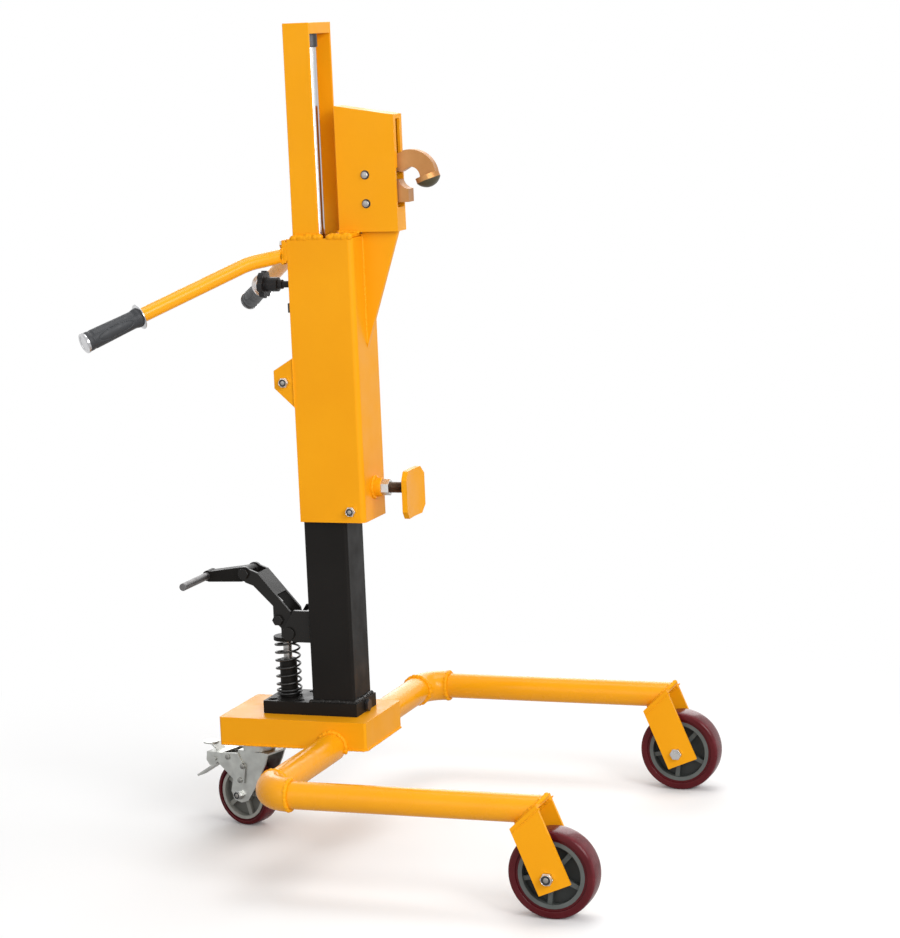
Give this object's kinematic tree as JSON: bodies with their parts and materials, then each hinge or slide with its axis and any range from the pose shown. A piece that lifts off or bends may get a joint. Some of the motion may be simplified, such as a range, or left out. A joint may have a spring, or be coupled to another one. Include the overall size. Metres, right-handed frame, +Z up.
{
  "type": "drum lifting dolly",
  "caption": "Three-wheeled lifting dolly with forward legs, a foot-pumped mast, a sliding carriage with a beak clamp and support pad, and splayed handles.",
  "frame": {"origin": "on the floor under the middle of the whole machine", "axes": "+X forwards to the load, +Z up, right-hand side at -Y"},
  "size_m": [0.9265, 0.9064, 1.484],
  "materials": {
    "yellow_paint": "glossy powder coat",
    "black_paint": "satin paint",
    "zinc": "bright zinc plate",
    "chrome": "polished",
    "bronze_plate": "yellow passivated plate",
    "tyre": "moulded polyurethane",
    "hub_grey": "moulded",
    "hub_pale": "moulded",
    "rubber": "moulded, matt",
    "nylon": "natural nylon",
    "knob_plastic": "moulded, satin",
    "pedal_steel": "bare bar",
    "spring_steel": "blackened wire"
  },
  "bodies": {
    "chassis": {"base_box": "yellow_paint", "base_floor": "yellow_paint", "cross_tubes": "yellow_paint", "right_leg": "yellow_paint", "left_leg": "yellow_paint", "right_fork": "yellow_paint", "left_fork": "yellow_paint", "front_axles": "zinc", "pump_block": "black_paint", "block_screws": "black_paint", "base_bolts": "zinc", "column": "black_paint", "cylinder_tube": "zinc", "pump_barrel": "black_paint", "pump_bracket": "black_paint", "caster_plate": "zinc", "pump_spring": "spring_steel"},
    "right_wheel": {"right_tyre": "tyre", "right_hub": "hub_grey", "right_bearings": "zinc"},
    "left_wheel": {"left_tyre": "tyre", "left_hub": "hub_grey", "left_bearings": "zinc"},
    "caster": {"caster_fork": "zinc", "caster_axle": "zinc"},
    "caster_wheel": {"caster_tyre": "tyre", "caster_hub": "hub_pale"},
    "brake": {"brake_pedal": "zinc"},
    "valve": {"release_valve": "zinc"},
    "carriage": {"sleeve": "yellow_paint", "sleeve_top": "yellow_paint", "roller_ears": "yellow_paint", "guide_pads": "nylon", "mast_channel": "yellow_paint", "mast_cap": "yellow_paint", "lift_rod": "chrome", "head_box": "yellow_paint", "gusset": "yellow_paint", "carriage_bolts": "zinc", "pad_boss": "yellow_paint", "pad_nut": "zinc", "handle_bracket": "yellow_paint", "right_handle": "yellow_paint", "left_handle": "yellow_paint", "handle_grips": "rubber", "grip_trim": "chrome"},
    "front_guide": {"front_roller": "zinc"},
    "rear_guide": {"rear_roller": "zinc"},
    "beak": {"hook": "bronze_plate"},
    "jaw": {"lower_jaw": "bronze_plate"},
    "pad": {"support_pad": "yellow_paint", "pad_stud": "black_paint"},
    "knob": {"star_knob": "knob_plastic"},
    "lever": {"pump_lever": "black_paint", "lever_bolts": "black_paint"},
    "press": {"lever_roller": "zinc"},
    "pedal": {"pedal_arm": "black_paint", "pedal_bar": "pedal_steel"},
    "piston": {"pump_piston": "chrome", "piston_cap": "black_paint"}
  },
  "joints": [
    {"name": "right_wheel_spin", "type": "hinge", "parent": "chassis", "child": "right_wheel", "pos_m": [0.38675, -0.404, 0.076], "axis": [0, 1, 0], "continuous": true},
    {"name": "left_wheel_spin", "type": "hinge", "parent": "chassis", "child": "left_wheel", "pos_m": [0.38675, 0.404, 0.076], "axis": [0, 1, 0], "continuous": true},
    {"name": "caster_swivel", "type": "hinge", "parent": "chassis", "child": "caster", "pos_m": [-0.31825, 0, 0.148], "axis": [0, 0, 1], "continuous": true},
    {"name": "caster_spin", "type": "hinge", "parent": "caster", "child": "caster_wheel", "pos_m": [-0.34901, 0.00882, 0.061], "axis": [0.2756, 0.9613, 0], "continuous": true},
    {"name": "brake_press", "type": "hinge", "parent": "caster", "child": "brake", "pos_m": [-0.40092, 0.02371, 0.125], "axis": [-0.2756, -0.9613, 0], "range_deg": [0, 15]},
    {"name": "valve_turn", "type": "hinge", "parent": "chassis", "child": "valve", "pos_m": [-0.09825, 0, 0.241], "axis": [1, 0, 0], "range_deg": [0, 90]},
    {"name": "lift", "type": "slide", "parent": "chassis", "child": "carriage", "axis": [0, 0, 1], "range_m": [-0.285, 0]},
    {"name": "front_guide_spin", "type": "hinge", "parent": "carriage", "child": "front_guide", "pos_m": [-0.08735, 0, 0.612], "axis": [0, 1, 0], "continuous": true},
    {"name": "rear_guide_spin", "type": "hinge", "parent": "carriage", "child": "rear_guide", "pos_m": [-0.20515, 0, 0.846], "axis": [0, 1, 0], "continuous": true},
    {"name": "beak_grip", "type": "hinge", "parent": "carriage", "child": "beak", "pos_m": [-0.04425, 0, 1.213], "axis": [0, -1, 0], "range_deg": [0, 30]},
    {"name": "jaw_grip", "type": "hinge", "parent": "carriage", "child": "jaw", "pos_m": [-0.04425, 0, 1.162], "axis": [0, -1, 0], "range_deg": [-5, 0]},
    {"name": "pad_reach", "type": "slide", "parent": "carriage", "child": "pad", "axis": [1, 0, 0], "range_m": [-0.02, 0.015]},
    {"name": "knob_turn", "type": "hinge", "parent": "carriage", "child": "knob", "pos_m": [-0.19725, 0, 1.018], "axis": [1, 0, 0], "continuous": true},
    {"name": "pump_stroke", "type": "hinge", "parent": "chassis", "child": "lever", "pos_m": [-0.23125, 0, 0.378], "axis": [0, -1, 0], "range_deg": [0, 40], "stiffness_Nm_per_rad": 3.1, "springref_deg": -126.05},
    {"name": "press_spin", "type": "hinge", "parent": "lever", "child": "press", "pos_m": [-0.25425, 0, 0.401], "axis": [0, 1, 0], "continuous": true},
    {"name": "pedal_fold", "type": "hinge", "parent": "lever", "child": "pedal", "pos_m": [-0.31825, 0, 0.486], "axis": [0, 1, 0], "range_deg": [0, 95]},
    {"name": "piston_slide", "type": "slide", "parent": "chassis", "child": "piston", "axis": [0, 0, -1], "range_m": [0, 0.0203], "deforming": ["pump_spring"]}
  ],
  "couplings": [
    {"joint": "piston_slide", "follows": "pump_stroke", "m_per_rad": 0.028934},
    {"joint": "jaw_grip", "follows": "beak_grip", "ratio": -0.16667}
  ]
}
